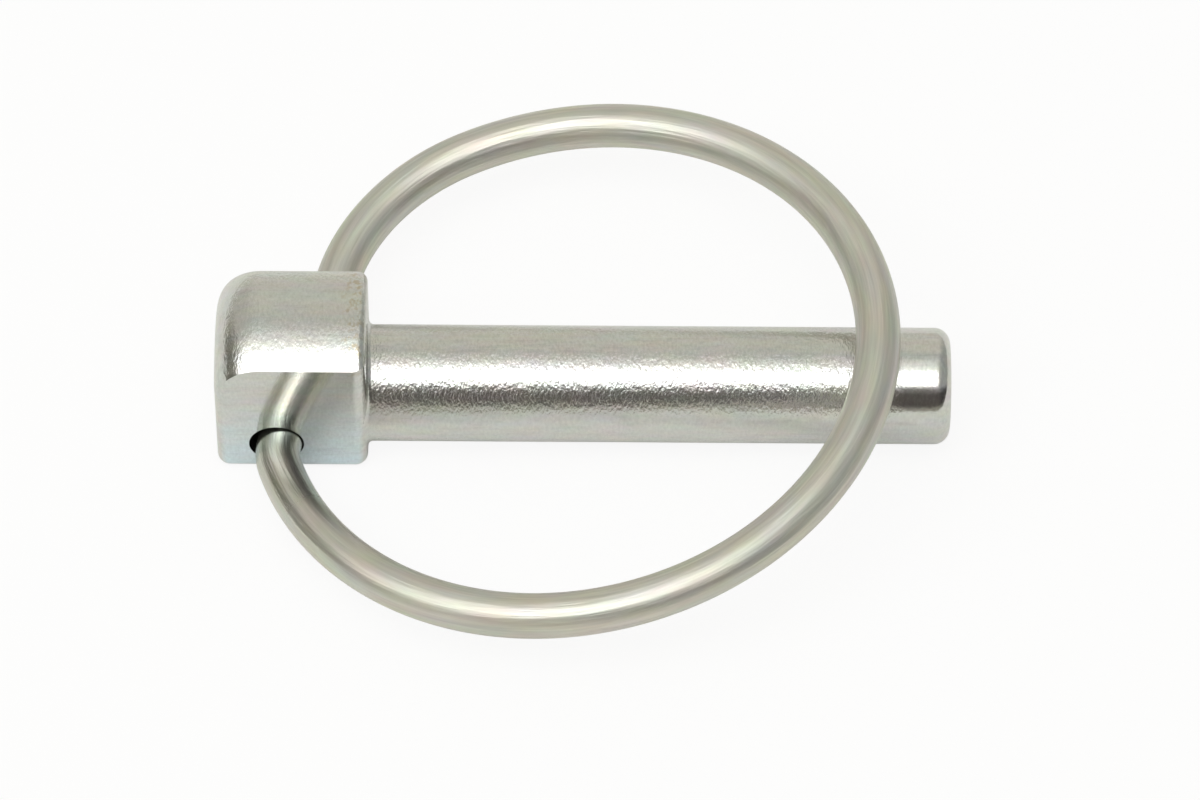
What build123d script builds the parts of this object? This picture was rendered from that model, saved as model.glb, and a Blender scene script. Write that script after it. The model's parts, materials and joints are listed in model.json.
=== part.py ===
from build123d import *
import os
from math import asin, atan2, cos, degrees, radians, sin, sqrt

# Lynch pin: a plain shank with a flatted head, and a sprung wire ring
# whose two ends sit in a bore through the head.
# Millimetres. +X runs along the shank to its tip, +Z is the side on which
# the ring lies. The origin is on the shank's axis, at the head's shoulder.

# Shank
shank_diameter = 11.0
shank_length = 54.8
tip_rounding = 1.5
shoulder_fillet = 0.5

# Head, turned on top and milled to two flats and an underside. The flats stand
# a little proud of the shank, and the milled block's own edges are rounded.
head_diameter = 22.0
head_length = 14.2
head_end_rounding = 4.2
head_shoulder_rounding = 0.8
flat_overhang = 0.5
underside_drop = 0.2
block_rounding = 1.2
facing_allowance = 0.05

# Ring
wire_diameter = 4.2
ring_radius = 29.05
ring_centre_reach = 26.25
near_bend_radius = 5.8
far_bend_radius = 20.1
wire_end_chamfer = 0.4

# Hinge, the askew bore through the head that holds both ends of the wire.
# The sprung wire bears towards the shank's side of the bore.
hinge_setback = 6.7
hinge_drop = 1.45
socket_stagger = 3.2
socket_clearance = 0.8
socket_offset = 0.25
wire_end_depth = 5.0

# The ring lies just clear of the shank
rest_gap = 0.1

shank_radius = shank_diameter / 2
head_radius = head_diameter / 2
wire_radius = wire_diameter / 2
socket_radius = (wire_diameter + socket_clearance) / 2
head_width = shank_diameter + 2 * flat_overhang
underside_z = -(shank_radius + underside_drop)

# Where the ring's centre line crosses over the shank, seen from the hinge
ring_reach = ring_centre_reach + ring_radius
crossing_height = shank_radius + rest_gap + wire_radius
ring_tilt = degrees(asin((crossing_height + hinge_drop) / ring_reach))

# The ring's own plane. Its origin is the middle of the bore, its x axis
# points at the far side of the ring and its y axis runs across the head.
ring_plane = Plane(
    origin=(-hinge_setback, 0, -hinge_drop),
    x_dir=(cos(radians(ring_tilt)), 0, sin(radians(ring_tilt))),
    z_dir=(-sin(radians(ring_tilt)), 0, cos(radians(ring_tilt))),
)

# The hinge line leans across the head, because its two mouths are staggered
bore_span = sqrt(head_width**2 + socket_stagger**2)
hinge_lean = degrees(atan2(socket_stagger, head_width))


def from_hinge(along, aside=0.0):
    """Point in the ring's plane, from its distance along the hinge line
    and its distance from that line towards the ring."""
    lean = radians(hinge_lean)
    return (along * sin(lean) + aside * cos(lean), along * cos(lean) - aside * sin(lean))


def bearing(start, finish):
    """Direction from one point of the ring's plane to another, in degrees."""
    return degrees(atan2(finish[1] - start[1], finish[0] - start[0])) % 360


# The bore's own plane, square to the hinge line in the middle of the head
bore_middle = ring_plane.from_local_coords(from_hinge(0, -socket_offset))
bore_direction = ring_plane.from_local_coords(from_hinge(1)) - ring_plane.origin
bore_plane = Plane(origin=bore_middle, z_dir=bore_direction)

# The ring's centre, as distances along and away from the hinge line
ring_centre = (ring_centre_reach, 0)
centre_along = ring_centre_reach * sin(radians(hinge_lean))
centre_aside = ring_centre_reach * cos(radians(hinge_lean))


def bend_run(bend_radius):
    """Distance along the hinge line from the ring's centre to where a bend of
    this radius leaves the line. The bend touches the line and the main arc."""
    gap = ring_radius - centre_aside
    return sqrt(gap * (ring_radius + centre_aside - 2 * bend_radius))


near_tangent = centre_along - bend_run(near_bend_radius)
far_tangent = centre_along + bend_run(far_bend_radius)
near_bend_centre = from_hinge(near_tangent, near_bend_radius)
far_bend_centre = from_hinge(far_tangent, far_bend_radius)

# The wire's three arcs follow one another, each turning the same way
near_start = 180 - hinge_lean
main_start = bearing(ring_centre, near_bend_centre)
far_start = bearing(ring_centre, far_bend_centre)
near_turn = (main_start - near_start) % 360
main_turn = (far_start - main_start) % 360
far_turn = (near_start - far_start) % 360

# Pin: the head is turned a little long, and then faced and milled to its block
with BuildPart() as pin:
    with BuildSketch(Plane.XZ) as profile:
        with BuildLine():
            Polyline(
                (-head_length - facing_allowance, 0),
                (-head_length - facing_allowance, head_radius),
                (facing_allowance, head_radius),
                (facing_allowance, 0),
                close=True,
            )
        make_face()
        end_corner = profile.vertices().sort_by_distance((-head_length, head_radius))[0]
        fillet(end_corner, radius=head_end_rounding + facing_allowance)
        rim_corner = profile.vertices().sort_by_distance((0, head_radius))[0]
        fillet(rim_corner, radius=head_shoulder_rounding + facing_allowance)
    revolve(axis=Axis.X)
    with BuildPart(mode=Mode.INTERSECT) as block:
        with Locations((0, 0, underside_z)):
            Box(
                head_length,
                head_width,
                head_diameter,
                align=(Align.MAX, Align.CENTER, Align.MIN),
            )
        underside_edges = block.faces().sort_by(Axis.Z)[0].edges()
        fillet(block.edges().filter_by(Axis.Z) + underside_edges, radius=block_rounding)

    # The shank, rooted in the head and blended into its shoulder
    with BuildSketch(Plane.YZ.offset(-head_length / 2)):
        Circle(shank_radius)
    extrude(amount=head_length / 2 + shank_length)
    tip_edge = pin.faces().sort_by(Axis.X)[-1].edges()
    fillet(tip_edge, radius=tip_rounding)
    shank_side = pin.faces().filter_by(GeomType.CYLINDER).sort_by(SortBy.AREA)[-1]
    neck_edges = shank_side.edges().filter_by_position(Axis.X, -head_length, shoulder_fillet)
    fillet(neck_edges, radius=shoulder_fillet)

    # One bore, drilled askew through both flats
    with BuildSketch(bore_plane):
        Circle(socket_radius)
    extrude(amount=head_width, both=True, mode=Mode.SUBTRACT)

# Ring: round wire that leaves the bore, bends into the main arc and comes back
with BuildPart() as ring:
    with BuildLine(ring_plane) as wire_path:
        Line(from_hinge(wire_end_depth - bore_span / 2), from_hinge(near_tangent))
        CenterArc(near_bend_centre, near_bend_radius, near_start, near_turn)
        CenterArc(ring_centre, ring_radius, main_start, main_turn)
        CenterArc(far_bend_centre, far_bend_radius, far_start, far_turn)
        Line(from_hinge(far_tangent), from_hinge(bore_span / 2 - wire_end_depth))
    with BuildSketch(Plane(origin=wire_path.line @ 0, z_dir=wire_path.line % 0)):
        Circle(wire_radius)
    sweep()
    cut_ends = ring.faces().filter_by(GeomType.PLANE).edges()
    chamfer(cut_ends, length=wire_end_chamfer)

os.makedirs("parts", exist_ok=True)
pin.part.label = "pin"
export_step(pin.part, "parts/pin.step")
ring.part.label = "ring"
export_step(ring.part, "parts/ring.step")
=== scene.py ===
"""A lynch pin: a plain shank with a flatted head, and a sprung wire ring that lies over the shank.

Everything is in metres, in the part's own frame: +X runs along the shank to its tip, +Z is
the side on which the ring lies, and the origin is on the shank's axis at the head's shoulder.
"""

import json
import math

import bpy
import numpy as np
from bpy.props import FloatProperty, FloatVectorProperty, IntProperty, PointerProperty
from mathutils import Matrix, Vector


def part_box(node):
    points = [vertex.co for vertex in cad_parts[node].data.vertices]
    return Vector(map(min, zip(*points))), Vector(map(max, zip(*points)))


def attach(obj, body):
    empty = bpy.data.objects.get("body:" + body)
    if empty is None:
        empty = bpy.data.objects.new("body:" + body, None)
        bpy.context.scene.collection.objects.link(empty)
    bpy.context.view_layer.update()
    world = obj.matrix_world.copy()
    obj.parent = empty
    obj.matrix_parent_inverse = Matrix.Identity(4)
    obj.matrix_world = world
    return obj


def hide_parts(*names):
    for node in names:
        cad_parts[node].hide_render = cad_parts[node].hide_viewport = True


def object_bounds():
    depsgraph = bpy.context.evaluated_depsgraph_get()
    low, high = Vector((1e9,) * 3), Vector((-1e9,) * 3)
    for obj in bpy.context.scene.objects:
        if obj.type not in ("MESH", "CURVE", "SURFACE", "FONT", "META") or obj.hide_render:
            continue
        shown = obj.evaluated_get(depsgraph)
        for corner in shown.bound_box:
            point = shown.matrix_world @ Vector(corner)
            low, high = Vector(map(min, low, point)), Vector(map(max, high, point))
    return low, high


bl_info = {
    "name": "Lynch pin",
    "version": (1, 0, 0),
    "blender": (4, 5, 0),
    "location": "View3D > Sidebar > Lynch pin",
    "description": "Finishes a zinc plated lynch pin and sets its studio",
    "category": "Object",
}

MM = 0.001

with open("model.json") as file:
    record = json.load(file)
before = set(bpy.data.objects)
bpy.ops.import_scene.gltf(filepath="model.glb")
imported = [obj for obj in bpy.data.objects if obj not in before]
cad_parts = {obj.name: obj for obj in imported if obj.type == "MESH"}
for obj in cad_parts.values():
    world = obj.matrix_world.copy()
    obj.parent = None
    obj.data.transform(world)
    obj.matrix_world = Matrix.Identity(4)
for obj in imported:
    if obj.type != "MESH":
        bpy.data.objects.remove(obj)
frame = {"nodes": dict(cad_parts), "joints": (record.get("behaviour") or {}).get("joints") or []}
CAD_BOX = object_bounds()
HINGE = next(joint for joint in frame["joints"] if joint["name"] == "ring_hinge")
# From the middle of the head to each of its flats, the widest places of the pin
HALF_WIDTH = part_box("pin")[1][1]


def linear(hex_colour):
    """Turns an sRGB hex colour into linear red, green and blue."""
    channels = np.array([int(hex_colour[i:i + 2], 16) for i in (1, 3, 5)]) / 255
    curve = np.where(channels <= 0.04045, channels / 12.92, ((channels + 0.055) / 1.055) ** 2.4)
    return tuple(float(channel) for channel in curve)


class PinSettings(bpy.types.PropertyGroup):
    """Colours and sizes of the pin's finish."""

    zinc: FloatVectorProperty(
        name="Zinc", description="Colour of the plating on the turned faces", subtype="COLOR",
        min=0, max=1, default=linear("#D3D4D0"),
    )
    # Painted reflection: this colour's cool tint stands for the cool-lit floor that the flats mirror, on top
    # of the zinc's own colour
    flat_zinc_with_cool_reflection: FloatVectorProperty(
        name="Zinc on the flats", description="Colour of the plating low on the milled flats",
        subtype="COLOR", min=0, max=1, default=linear("#D6E4E9"),
    )
    speck: FloatVectorProperty(
        name="Specks", description="Colour of the specks along the head's rim",
        subtype="COLOR", min=0, max=1, default=linear("#B5A684"),
    )
    half_width: FloatProperty(
        name="Half width", description="From the middle of the head to each flat",
        default=HALF_WIDTH, min=0.1 * MM, unit="LENGTH", precision=4,
    )
    grain: FloatProperty(
        name="Grain", description="Length of the grains round the turned surface",
        default=0.5 * MM, min=0.05 * MM, max=2 * MM, unit="LENGTH", precision=5,
    )
    grain_height: FloatProperty(
        name="Grain height", description="How far the grains stand out",
        default=0.075 * MM, min=0, max=0.2 * MM, unit="LENGTH", precision=5,
    )
    turned_roughness: FloatProperty(
        name="Turned roughness", description="Roughness of the shank and the head's top",
        default=0.21, min=0, max=1,
    )
    flat_roughness: FloatProperty(
        name="Flat roughness", description="Roughness of the head's milled flats",
        default=0.1, min=0, max=1,
    )


class RingSettings(bpy.types.PropertyGroup):
    """Colours and sizes of the ring and its finish."""

    zinc: FloatVectorProperty(
        name="Zinc", description="Colour of the plating on the wire", subtype="COLOR",
        min=0, max=1, default=linear("#D2D1C7"),
    )
    roughness: FloatProperty(
        name="Roughness", description="Roughness of the drawn wire",
        default=0.47, min=0, max=1,
    )
    worn_roughness: FloatProperty(
        name="Worn roughness", description="Roughness of the wire's near end",
        default=0.25, min=0, max=1,
    )
    streak_height: FloatProperty(
        name="Streak height", description="How far the streaks along the wire stand out",
        default=0.06 * MM, min=0, max=0.2 * MM, unit="LENGTH", precision=5,
    )
    wire: FloatProperty(
        name="Wire", description="Diameter of the wire",
        default=4.2 * MM, min=0.1 * MM, unit="LENGTH", precision=4,
    )
    radius: FloatProperty(
        name="Radius", description="Radius of the ring, to the middle of the wire",
        default=29.05 * MM, min=1 * MM, unit="LENGTH", precision=4,
    )
    reach: FloatProperty(
        name="Reach", description="From the hinge to the middle of the ring",
        default=26.25 * MM, min=1 * MM, unit="LENGTH", precision=4,
    )
    near_bend: FloatProperty(
        name="Near bend", description="Radius of the bend at the near side of the head",
        default=5.8 * MM, min=1 * MM, unit="LENGTH", precision=4,
    )
    far_bend: FloatProperty(
        name="Far bend", description="Radius of the bend at the far side of the head",
        default=20.1 * MM, min=1 * MM, unit="LENGTH", precision=4,
    )
    end_depth: FloatProperty(
        name="End depth", description="How far each end of the wire reaches into the head",
        default=5 * MM, min=0, unit="LENGTH", precision=4,
    )
    end_chamfer: FloatProperty(
        name="End chamfer", description="Chamfer on each end of the wire",
        default=0.4 * MM, min=0.01 * MM, unit="LENGTH", precision=4,
    )
    steps_along: IntProperty(
        name="Steps along", description="Faces along the wire", default=640, min=16,
    )
    steps_round: IntProperty(
        name="Steps round", description="Faces round the wire", default=56, min=8,
    )


class StageSettings(bpy.types.PropertyGroup):
    """Floor, light tent and camera."""

    floor_colour: FloatVectorProperty(
        name="Floor", description="Colour of the floor", subtype="COLOR",
        min=0, max=1, default=linear("#EBEBE7"),
    )
    tent_radius: FloatProperty(
        name="Tent radius", description="Radius of the light tent",
        default=1.6, min=0.5, max=10, unit="LENGTH",
    )
    tent_glow: FloatProperty(
        name="Tent glow", description="Brightness of the tent's cloth where it is white",
        default=1.0, min=0, max=10,
    )
    panel_glow: FloatProperty(
        name="Panel glow", description="How much brighter the panel in the roof is than white cloth",
        default=4.0, min=0, max=20,
    )
    camera_elevation: FloatProperty(
        name="Camera elevation", description="Height of the camera above the floor, as an angle",
        default=math.radians(52.2), min=0, max=math.pi / 2, subtype="ANGLE",
    )
    camera_roll: FloatProperty(
        name="Camera roll", description="Turn of the camera about its own line of sight",
        default=math.radians(-0.3646), min=-1, max=1, subtype="ANGLE",
    )
    camera_distance: FloatProperty(
        name="Camera distance", description="From the camera to the pin",
        default=0.7, min=0.1, max=10, unit="LENGTH",
    )
    view_width: FloatProperty(
        name="View width", description="Width of what the camera sees at the pin",
        default=113.2 * MM, min=0.01, max=10, unit="LENGTH", precision=4,
    )


def add_node(tree, kind, links=None, values=None, **settings):
    """Adds a shader node, sets its properties, its input values and its input links."""
    node = tree.nodes.new(kind)
    for name, value in settings.items():
        setattr(node, name, value)
    for socket, value in (values or {}).items():
        node.inputs[socket].default_value = value
    for socket, source in (links or {}).items():
        tree.links.new(source, node.inputs[socket])
    return node


def new_material(name):
    """Makes an empty material with a node tree."""
    material = bpy.data.materials.new(name)
    material.use_nodes = True
    material.node_tree.nodes.clear()
    return material


def give_material(piece, material):
    """Makes one material the whole finish of a piece."""
    piece.data.materials.clear()
    piece.data.materials.append(material)


def set_stops(ramp_node, stops):
    """Sets a colour ramp's stops, each a position and an sRGB hex colour."""
    elements = ramp_node.color_ramp.elements
    while len(elements) < len(stops):
        elements.new(0.5)
    for element, (position, colour) in zip(elements, stops):
        element.position = position
        element.color = (*linear(colour), 1)


def plating_patterns(tree, place, sizes):
    """The outputs of a plating's patterns, by name. Each is noise, stretched to one size along
    the first axis and another across it, with its own detail and roughness."""
    patterns = {}
    for name, (length, width, detail, roughness) in sizes.items():
        stretched = add_node(tree, "ShaderNodeMapping", links={"Vector": place},
                             values={"Scale": (1 / length, 1 / width, 1 / width)})
        patterns[name] = add_node(tree, "ShaderNodeTexNoise", links={
            "Vector": stretched.outputs["Vector"],
        }, values={"Scale": 1.0, "Detail": detail, "Roughness": roughness}).outputs
    return patterns


def turned_zinc(settings):
    """Bright zinc over turned and milled steel, clear passivated: a pale grey metal. The turned
    faces have a fine grain that breaks up the edges of reflections, and is worn smooth near the
    tip. The milled flats are nearly mirrors, with a painted reflection: their colour turns cooler
    towards the underside, standing for the cool-lit floor that they mirror."""
    material = new_material("Bright zinc plating on turned steel")
    tree = material.node_tree
    place = add_node(tree, "ShaderNodeTexCoord").outputs["Object"]
    axes = add_node(tree, "ShaderNodeSeparateXYZ", links={"Vector": place})
    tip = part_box("pin")[1][0]
    grain_on_head, grain_on_tip, grain_on_flats = 0.6, 0.15, 0.06

    # The grains are longer round the shank than along it, as the tool passed that way
    patterns = plating_patterns(tree, place, {
        "grain": (0.5 * settings.grain, settings.grain, 2.0, 0.6),
        "clouds": (4 * MM, 1.5 * MM, 3.0, 0.6),
        "smudges": (5 * MM, 0.7 * MM, 4.0, 0.7),
        "specks": (0.5 * MM, 0.7 * MM, 2.0, 0.6),
    })
    grain = patterns["grain"]["Fac"]

    # 1 on the two flats, 0 elsewhere
    flat_starts = settings.half_width - 0.35 * MM
    flat_ends = settings.half_width - 0.03 * MM
    aside = add_node(tree, "ShaderNodeMath", operation="ABSOLUTE", links={0: axes.outputs["Y"]})
    flat = add_node(tree, "ShaderNodeMapRange", links={"Value": aside.outputs[0]}, values={
        "From Min": flat_starts, "From Max": flat_ends,
    }).outputs["Result"]

    # The grain hardly shows on the flats and on the worn tip, and less on the head than on the
    # shank
    grainy = add_node(tree, "ShaderNodeMapRange", links={"Value": flat}, values={
        "To Min": 1.0, "To Max": grain_on_flats,
    }).outputs["Result"]
    for start, end, before, after in (
        (0.0, 1 * MM, grain_on_head, 1.0),
        (tip - 6.3 * MM, tip - 4.3 * MM, 1.0, grain_on_tip),
    ):
        share = add_node(tree, "ShaderNodeMapRange", links={"Value": axes.outputs["X"]}, values={
            "From Min": start, "From Max": end, "To Min": before, "To Max": after,
        })
        grainy = add_node(tree, "ShaderNodeMath", operation="MULTIPLY", links={
            0: grainy, 1: share.outputs["Result"],
        }).outputs[0]
    bump = add_node(tree, "ShaderNodeBump", links={"Height": grain, "Strength": grainy},
                    values={"Distance": settings.grain_height})

    # Painted reflection: down the flats the colour turns cooler, from the shank's top to just above
    # # their foot, standing for the cool-lit floor that the flats mirror
    warm_above, cool_below = 5 * MM, -4 * MM
    painted_cool_reflection = add_node(tree, "ShaderNodeMapRange", links={"Value": axes.outputs["Z"], "To Max": flat},
                    values={"From Min": warm_above, "From Max": cool_below})
    colour = add_node(tree, "ShaderNodeMix", data_type="RGBA", links={0: painted_cool_reflection.outputs["Result"]},
                      values={6: (*settings.zinc, 1), 7: (*settings.flat_zinc_with_cool_reflection, 1)}).outputs[2]

    # Faint coloured clouds in the passivation, then smudges and the hollows of the grain
    colour = add_node(tree, "ShaderNodeMix", data_type="RGBA", blend_type="SOFT_LIGHT",
                      links={6: colour, 7: patterns["clouds"]["Color"]}, values={0: 0.3}).outputs[2]
    for pattern, low, high, dark, light in (
        (patterns["smudges"]["Fac"], 0.3, 0.5, 0.9, 1.0),
        (grain, 0.3, 0.7, 0.9, 1.04),
    ):
        shade = add_node(tree, "ShaderNodeMapRange", links={"Value": pattern}, values={
            "From Min": low, "From Max": high, "To Min": dark, "To Max": light,
        })
        colour = add_node(tree, "ShaderNodeMix", data_type="RGBA", blend_type="MULTIPLY",
                          links={6: colour, 7: shade.outputs["Result"]}, values={0: 1.0}).outputs[2]

    # Warm specks where the passivation dried. They fade out on each side of the head's rim, at
    # the shoulder, and down from its top, each range scaling what the one before lets through.
    speckled = add_node(tree, "ShaderNodeMapRange", links={"Value": patterns["specks"]["Fac"]}, values={
        "From Min": 0.5, "From Max": 0.65, "To Max": 0.6,
    })
    for axis, none_at, full_at in (
        ("X", -2.6 * MM, -1.4 * MM),
        ("X", 0.0, -0.6 * MM),
        ("Z", 8 * MM, 9.5 * MM),
    ):
        speckled = add_node(tree, "ShaderNodeMapRange", links={
            "Value": axes.outputs[axis], "To Max": speckled.outputs["Result"],
        }, values={"From Min": none_at, "From Max": full_at})
    colour = add_node(tree, "ShaderNodeMix", data_type="RGBA", links={
        0: speckled.outputs["Result"], 6: colour,
    }, values={7: (*settings.speck, 1)}).outputs[2]

    roughness = add_node(tree, "ShaderNodeMapRange", links={"Value": grainy}, values={
        "From Max": grain_on_head, "To Min": settings.flat_roughness, "To Max": settings.turned_roughness,
    })
    shader = add_node(tree, "ShaderNodeBsdfPrincipled", values={"Metallic": 1.0}, links={
        "Base Color": colour, "Roughness": roughness.outputs["Result"], "Normal": bump.outputs["Normal"],
    })
    add_node(tree, "ShaderNodeOutputMaterial", links={"Surface": shader.outputs["BSDF"]})
    return material


def drawn_zinc(settings):
    """Bright zinc over drawn spring wire: satin, with fine streaks along the wire from the
    die, and faint pink and green clouds from the clear passivation."""
    material = new_material("Bright zinc plating on drawn wire")
    tree = material.node_tree
    along = add_node(tree, "ShaderNodeAttribute", attribute_name="straight_wire").outputs["Vector"]
    patterns = plating_patterns(tree, along, {
        "streaks": (9 * MM, 0.3 * MM, 3.0, 0.6),
        "clouds": (5 * MM, 1.3 * MM, 2.0, 0.5),
    })
    streaks = patterns["streaks"]["Fac"]
    bump = add_node(tree, "ShaderNodeBump", links={"Height": streaks}, values={
        "Strength": 1.0, "Distance": settings.streak_height,
    })
    tint = add_node(tree, "ShaderNodeMix", data_type="RGBA", blend_type="SOFT_LIGHT",
                    links={7: patterns["clouds"]["Color"]}, values={0: 0.3, 6: (*settings.zinc, 1)})
    shade = add_node(tree, "ShaderNodeMapRange", links={"Value": streaks}, values={
        "From Min": 0.3, "From Max": 0.7, "To Min": 0.84, "To Max": 1.05,
    })
    colour = add_node(tree, "ShaderNodeMix", data_type="RGBA", blend_type="MULTIPLY",
                      links={6: tint.outputs[2], 7: shade.outputs["Result"]}, values={0: 1.0})
    # The near end, which rubs against the head, is smoother than the rest
    worn_until, rough_from = 12 * MM, 32 * MM
    distance = add_node(tree, "ShaderNodeSeparateXYZ", links={"Vector": along})
    roughness = add_node(tree, "ShaderNodeMapRange", links={"Value": distance.outputs["X"]}, values={
        "From Min": worn_until, "From Max": rough_from,
        "To Min": settings.worn_roughness, "To Max": settings.roughness,
    })
    shader = add_node(tree, "ShaderNodeBsdfPrincipled", values={"Metallic": 1.0}, links={
        "Base Color": colour.outputs[2], "Roughness": roughness.outputs["Result"],
        "Normal": bump.outputs["Normal"],
    })
    add_node(tree, "ShaderNodeOutputMaterial", links={"Surface": shader.outputs["BSDF"]})
    return material


def hinge_axes():
    """The hinge's place and the ring's axes, from the joint: the bore's line from the near flat
    to the far one, the direction in the ring's plane from that line towards the ring, the
    plane's normal, and the angle by which the line leans away from the part's Y axis."""
    origin = np.array(HINGE["pos_m"])
    line = -np.array(HINGE["axis"]) / np.linalg.norm(HINGE["axis"])
    lean = math.acos(line[1])
    ahead = np.array((line[0], 0, line[2])) / math.sin(lean)
    aside = math.cos(lean) * ahead - math.sin(lean) * np.array((0, 1, 0))
    return origin, line, aside, np.cross(aside, line), lean


def path_pieces(settings, lean):
    """Length and curvature of the ring's five pieces: straight, near bend, main arc, far bend
    and straight. The bends touch the bore's line and the main arc, which fixes where each
    starts: a bend of radius b leaves the line at the root of g (R + c - 2 b) from the foot of
    the ring's centre, where R is the ring's radius, c its centre's distance from the line and
    g is R - c. Returns the starting distance along the line too."""
    along, aside = settings.reach * math.sin(lean), settings.reach * math.cos(lean)
    bends = np.array((settings.near_bend, settings.far_bend))
    runs = np.sqrt((settings.radius - aside) * (settings.radius + aside - 2 * bends))
    tangents = along + runs * (-1, 1)
    # Each bend turns from the line to the direction of its own centre, seen from the ring's
    turns = np.arctan2(runs, aside - bends)
    # Along the leaning line, from the middle of the head to each end of the wire
    start = HALF_WIDTH / math.cos(lean) - settings.end_depth
    lengths = np.array((
        -start - tangents[0],
        bends[0] * turns[0],
        settings.radius * (2 * math.pi - turns.sum()),
        bends[1] * turns[1],
        tangents[1] - start,
    ))
    curvatures = np.array((0, 1 / bends[0], 1 / settings.radius, 1 / bends[1], 0))
    return lengths, curvatures, -start


def path_points(distances, lengths, curvatures, start):
    """Points and directions of a path of pieces of constant curvature, at distances along it.
    A stretch d of curvature k turns by k d. Its chord is d sinc(k d / 2) long and points
    half way between its two directions. The path starts on the bore's line, running along
    it towards the near flat, and turns towards the ring."""
    def chord(stretch, curvature, angle):
        turn = stretch * curvature
        size = stretch * np.sinc(turn / (2 * np.pi))
        return size[:, None] * np.stack((np.cos(angle - turn / 2), np.sin(angle - turn / 2)), axis=1)

    ends = np.cumsum(lengths)
    starts = ends - lengths
    turned = np.cumsum(lengths * curvatures)
    angles = np.pi - (turned - lengths * curvatures)
    corners = np.cumsum(chord(lengths, curvatures, angles), axis=0)
    corners = np.vstack(((0, 0), corners[:-1])) + (start, 0)
    piece = np.searchsorted(ends[:-1], distances)
    stretch = distances - starts[piece]
    points = corners[piece] + chord(stretch, curvatures[piece], angles[piece])
    return points, angles[piece] - stretch * curvatures[piece]


def wire_ring(settings):
    """The ring as a tube: a circle carried along the path, square to it. The point at distance s
    and angle v is path(s) + r(s) (cos v normal + sin v plane's normal). The radius r(s) grows
    from each end by as much as s does, over the chamfer. One pole closes each end."""
    origin, line, aside, normal, lean = hinge_axes()
    lengths, curvatures, start = path_pieces(settings, lean)
    total = lengths.sum()
    inner = np.linspace(settings.end_chamfer, total - settings.end_chamfer, settings.steps_along)
    distance = np.concatenate(((0,), inner, (total,)))
    points, heading = path_points(distance, lengths, curvatures, start)
    plane = np.stack((line, aside))
    path = origin + points @ plane
    out = np.stack((-np.sin(heading), np.cos(heading)), axis=1) @ plane
    radius = settings.wire / 2 - np.maximum(0, settings.end_chamfer - np.minimum(distance, total - distance))
    angle = np.arange(settings.steps_round) * 2 * np.pi / settings.steps_round
    across = radius[:, None] * np.cos(angle)
    upward = radius[:, None] * np.sin(angle)
    tube = path[:, None] + across[..., None] * out[:, None] + upward[..., None] * normal
    straight = np.stack((np.broadcast_to(distance[:, None], across.shape), across, upward), axis=-1)
    vertices = np.vstack((tube.reshape(-1, 3), path[0], path[-1]))
    straight = np.vstack((straight.reshape(-1, 3), (0, 0, 0), (total, 0, 0)))

    rows, columns = tube.shape[:2]
    index = np.arange(rows * columns).reshape(rows, columns)
    following = np.roll(index, -1, axis=1)
    sides = np.stack((index[:-1], index[1:], following[1:], following[:-1]), axis=-1).reshape(-1, 4)
    pole = rows * columns
    first = np.stack((index[0], following[0], np.full(columns, pole)), axis=-1)
    last = np.stack((following[-1], index[-1], np.full(columns, pole + 1)), axis=-1)
    faces = sides.tolist() + first.tolist() + last.tolist()

    mesh = bpy.data.meshes.new("wire_ring")
    mesh.from_pydata(vertices.tolist(), [], faces)
    mesh.polygons.foreach_set("use_smooth", np.arange(len(faces)) < len(sides))
    attribute = mesh.attributes.new("straight_wire", "FLOAT_VECTOR", "POINT")
    attribute.data.foreach_set("vector", straight.ravel())
    mesh.update()
    piece = bpy.data.objects.new("wire_ring", mesh)
    bpy.context.scene.collection.objects.link(piece)
    return piece


class LYNCHPIN_OT_pin(bpy.types.Operator):
    """Gives the pin, shank and head in one, its zinc plating."""

    bl_idname = "lynchpin.pin"
    bl_label = "Finish the pin"

    def execute(self, context):
        give_material(frame["nodes"]["pin"], turned_zinc(context.scene.lynchpin_pin))
        return {"FINISHED"}


class LYNCHPIN_OT_ring(bpy.types.Operator):
    """Draws the sprung wire ring, with its bends and its two ends in the head."""

    bl_idname = "lynchpin.ring"
    bl_label = "Draw the ring"

    def execute(self, context):
        settings = context.scene.lynchpin_ring
        ring = wire_ring(settings)
        give_material(ring, drawn_zinc(settings))
        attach(ring, "ring")
        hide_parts("ring")
        return {"FINISHED"}


def sheet(name, points):
    """A surface through a grid of points, one row after the other."""
    rows, columns = points.shape[:2]
    index = np.arange(rows * columns).reshape(rows, columns)
    faces = np.stack((index[:-1, :-1], index[1:, :-1], index[1:, 1:], index[:-1, 1:]), axis=-1)
    mesh = bpy.data.meshes.new(name)
    mesh.from_pydata(points.reshape(-1, 3).tolist(), [], faces.reshape(-1, 4).tolist())
    piece = bpy.data.objects.new(name, mesh)
    bpy.context.scene.collection.objects.link(piece)
    return piece


def tent_points(radius, level):
    """Half a sphere over the floor: azimuth and height angle give the direction."""
    points_round, points_up = 33, 9
    azimuth, height = np.meshgrid(
        np.linspace(0, 2 * np.pi, points_round), np.linspace(0, np.pi / 2, points_up),
    )
    return radius * np.stack((
        np.cos(azimuth) * np.cos(height),
        np.sin(azimuth) * np.cos(height),
        np.sin(height),
    ), axis=-1) + (0, 0, level)


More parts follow.
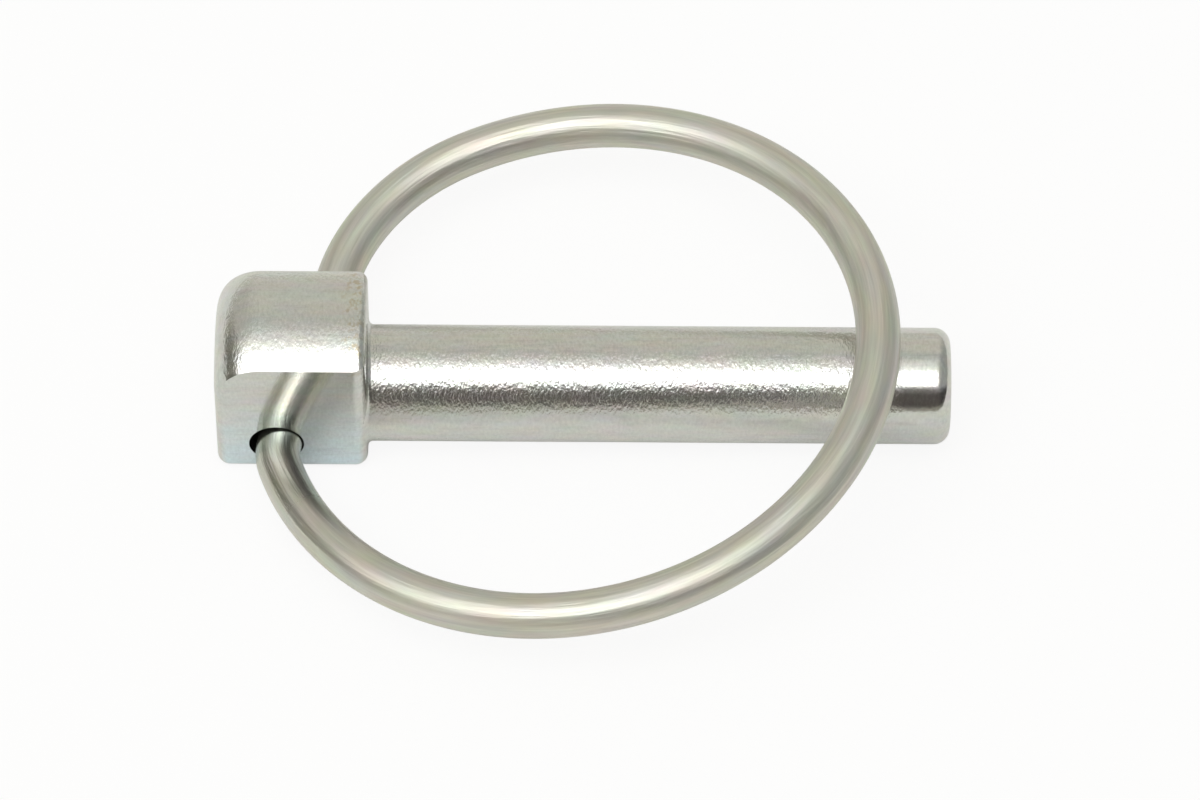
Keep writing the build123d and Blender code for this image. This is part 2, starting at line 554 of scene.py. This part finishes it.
def tent_cloth(settings):
    """Glowing nylon: pale walls with a dark opening low in front, and a bright panel in the roof.
    Stops of the walls and of the panel's length run by angle from the front horizon over the
    top to the back one. Stops of the panel's width and of the shade run along X, from the
    tent's left side to its right one."""
    material = new_material("Glowing nylon cloth")
    tree = material.node_tree
    place = add_node(tree, "ShaderNodeTexCoord")
    axes = add_node(tree, "ShaderNodeSeparateXYZ", links={"Vector": place.outputs["Object"]})
    ahead = add_node(tree, "ShaderNodeMath", operation="MULTIPLY",
                     links={0: axes.outputs["Y"]}, values={1: -1.0})
    angle = add_node(tree, "ShaderNodeMath", operation="ARCTAN2",
                     links={0: axes.outputs["Z"], 1: ahead.outputs[0]})
    over = add_node(tree, "ShaderNodeMath", operation="DIVIDE",
                    links={0: angle.outputs[0]}, values={1: math.pi}).outputs[0]
    across = add_node(tree, "ShaderNodeMapRange", links={"Value": axes.outputs["X"]}, values={
        "From Min": -settings.tent_radius, "From Max": settings.tent_radius,
    }).outputs["Result"]

    walls = add_node(tree, "ShaderNodeValToRGB", links={"Fac": over})
    set_stops(walls, (
        (0.0, "#B0AB9E"), (0.03, "#A09B8F"), (0.06, "#605B57"), (0.19, "#605B57"), (0.25, "#8A8683"),
        (0.30, "#DCDAD4"), (0.58, "#DCDAD2"), (0.64, "#CDCDC7"), (0.72, "#DCD9CE"), (1.0, "#DCD9CE"),
    ))
    panel_length = add_node(tree, "ShaderNodeValToRGB", links={"Fac": over})
    set_stops(panel_length, (
        (0.27, "#000000"), (0.32, "#FFFFFF"), (0.42, "#FFFFFF"), (0.46, "#808080"), (0.52, "#606060"),
        (0.60, "#000000"),
    ))
    panel_width = add_node(tree, "ShaderNodeValToRGB", links={"Fac": across})
    set_stops(panel_width, (
        (0.08, "#000000"), (0.18, "#FFFFFF"), (0.56, "#FFFFFF"), (0.72, "#000000"),
    ))
    shade = add_node(tree, "ShaderNodeValToRGB", links={"Fac": across})
    set_stops(shade, (
        (0.04, "#A0A09A"), (0.13, "#FFFFFF"), (0.68, "#FFFFFF"), (0.85, "#C9CED2"),
    ))
    panel = add_node(tree, "ShaderNodeMath", operation="MULTIPLY", links={
        0: panel_length.outputs["Color"], 1: panel_width.outputs["Color"],
    })

    # The dark opening ends well before the left side, where the walls are one pale grey
    opening_from, opening_until = 0.42, 0.28
    left = add_node(tree, "ShaderNodeMapRange", links={"Value": across}, values={
        "From Min": opening_from, "From Max": opening_until,
    })
    cloth = add_node(tree, "ShaderNodeMix", data_type="RGBA", links={
        0: left.outputs["Result"], 6: walls.outputs["Color"],
    }, values={7: (*linear("#C8C5BC"), 1)})
    shaded_cloth = add_node(tree, "ShaderNodeMix", data_type="RGBA", blend_type="MULTIPLY", links={
        6: cloth.outputs[2], 7: shade.outputs["Color"],
    }, values={0: 1.0})
    bright = (settings.panel_glow, settings.panel_glow, settings.panel_glow, 1)
    colour = add_node(tree, "ShaderNodeMix", data_type="RGBA", links={
        0: panel.outputs[0], 6: shaded_cloth.outputs[2],
    }, values={7: bright})
    glow = add_node(tree, "ShaderNodeEmission", links={"Color": colour.outputs[2]},
                    values={"Strength": settings.tent_glow})
    add_node(tree, "ShaderNodeOutputMaterial", links={"Surface": glow.outputs[0]})
    return material


def seen_share(tree, to_camera, to_gloss):
    """How much of the plain white background a ray takes: one share for the camera, one for
    reflections and what shows through glass, none for the light that falls on the object."""
    rays = add_node(tree, "ShaderNodeLightPath")
    gloss = add_node(tree, "ShaderNodeMath", operation="MAXIMUM", links={
        0: rays.outputs["Is Glossy Ray"], 1: rays.outputs["Is Transmission Ray"],
    })
    gloss_share = add_node(tree, "ShaderNodeMath", operation="MULTIPLY",
                           links={0: gloss.outputs[0]}, values={1: to_gloss})
    return add_node(tree, "ShaderNodeMath", operation="MULTIPLY_ADD", use_clamp=True, links={
        0: rays.outputs["Is Camera Ray"], 2: gloss_share.outputs[0],
    }, values={1: to_camera}).outputs[0]


def board(colour):
    """Matt white card. The camera sees it close to plain white, so that little but the
    object's soft shadow shows."""
    material = new_material("Matt white card")
    tree = material.node_tree
    card = add_node(tree, "ShaderNodeBsdfDiffuse", values={"Color": (*colour, 1)})
    white = add_node(tree, "ShaderNodeEmission", values={"Color": (1, 1, 1, 1), "Strength": 1.0})
    mix = add_node(tree, "ShaderNodeMixShader", links={
        0: seen_share(tree, to_camera=0.9, to_gloss=0.15), 1: card.outputs[0], 2: white.outputs[0],
    })
    add_node(tree, "ShaderNodeOutputMaterial", links={"Surface": mix.outputs[0]})
    return material


def white_world():
    """A plain white background for whatever looks past the floor, and a dim one for light."""
    world = bpy.data.worlds.new("White background")
    world.use_nodes = True
    tree = world.node_tree
    tree.nodes.clear()
    dim = add_node(tree, "ShaderNodeBackground", values={"Color": (1, 1, 1, 1), "Strength": 0.5})
    white = add_node(tree, "ShaderNodeBackground", values={"Color": (1, 1, 1, 1), "Strength": 1.0})
    mix = add_node(tree, "ShaderNodeMixShader", links={
        0: seen_share(tree, to_camera=1.0, to_gloss=1.0), 1: dim.outputs[0], 2: white.outputs[0],
    })
    add_node(tree, "ShaderNodeOutputWorld", links={"Surface": mix.outputs[0]})
    return world


def place_camera(settings):
    """Looks down on the pin from the side: elevation, then roll, then back by the distance. The
    head's shoulder, where the part's origin is, lies left of the picture's middle and a little
    above it. Its place is in pixels of a picture of 1200 by 800."""
    picture_width = 1200
    picture_centre = (600, 400)
    shoulder = (368.5, 382.4)
    pixel = settings.view_width / picture_width
    climb = settings.camera_elevation
    level = Matrix((
        (1, 0, 0),
        (0, math.sin(climb), -math.cos(climb)),
        (0, math.cos(climb), math.sin(climb)),
    ))
    turn = level @ Matrix.Rotation(-settings.camera_roll, 3, "Z")
    right, up, back = (turn @ Vector(axis) for axis in ((1, 0, 0), (0, 1, 0), (0, 0, 1)))
    rightward = (picture_centre[0] - shoulder[0]) * pixel
    downward = (picture_centre[1] - shoulder[1]) * pixel
    target = right * rightward - up * downward
    lens = bpy.data.cameras.new("Camera")
    lens.lens = lens.sensor_width * settings.camera_distance / settings.view_width
    lens.clip_start = 0.01
    camera = bpy.data.objects.new("Camera", lens)
    bpy.context.scene.collection.objects.link(camera)
    camera.matrix_world = Matrix.Translation(target + back * settings.camera_distance) @ turn.to_4x4()
    bpy.context.scene.camera = camera


class LYNCHPIN_OT_stage(bpy.types.Operator):
    """Lays the floor, puts up the light tent and places the camera."""

    bl_idname = "lynchpin.stage"
    bl_label = "Set the stage"

    def execute(self, context):
        settings = context.scene.lynchpin_stage
        # A hair below the head's underside, so that the two faces don't lie in each other
        floor_gap = 0.02 * MM
        level = CAD_BOX[0][2] - floor_gap
        # Twice as far as the tent reaches, each way
        reach = 2 * settings.tent_radius
        across, along = np.meshgrid((-reach, reach), (-reach, reach))
        floor = sheet("floor", np.stack((across, along, np.full_like(across, level)), axis=-1))
        give_material(floor, board(settings.floor_colour))
        tent = sheet("light_tent", tent_points(settings.tent_radius, level))
        give_material(tent, tent_cloth(settings))
        tent.visible_camera = False
        context.scene.world = white_world()
        context.scene.view_settings.view_transform = "Standard"
        place_camera(settings)
        return {"FINISHED"}


STEPS = (
    (LYNCHPIN_OT_pin, "lynchpin_pin", PinSettings),
    (LYNCHPIN_OT_ring, "lynchpin_ring", RingSettings),
    (LYNCHPIN_OT_stage, "lynchpin_stage", StageSettings),
)


class LYNCHPIN_PT_panel(bpy.types.Panel):
    """Lists the lynch pin's steps, each with its settings."""

    bl_idname = "LYNCHPIN_PT_panel"
    bl_label = "Lynch pin"
    bl_space_type = "VIEW_3D"
    bl_region_type = "UI"
    bl_category = "Lynch pin"

    def draw(self, context):
        for operator, name, group in STEPS:
            box = self.layout.box()
            box.operator(operator.bl_idname)
            for setting in group.__annotations__:
                box.prop(getattr(context.scene, name), setting)


def register():
    """Makes the classes known and hangs the settings on the scene."""
    for operator, name, group in STEPS:
        bpy.utils.register_class(group)
        bpy.utils.register_class(operator)
        setattr(bpy.types.Scene, name, PointerProperty(type=group))
    bpy.utils.register_class(LYNCHPIN_PT_panel)


def unregister():
    """Takes the panel, the settings and the classes away again."""
    bpy.utils.unregister_class(LYNCHPIN_PT_panel)
    for operator, name, group in reversed(STEPS):
        delattr(bpy.types.Scene, name)
        bpy.utils.unregister_class(operator)
        bpy.utils.unregister_class(group)


def main():
    """Builds the pieces in order."""
    register()
    bpy.ops.lynchpin.pin()
    bpy.ops.lynchpin.ring()
    bpy.ops.lynchpin.stage()


if __name__ == "__main__":
    main()
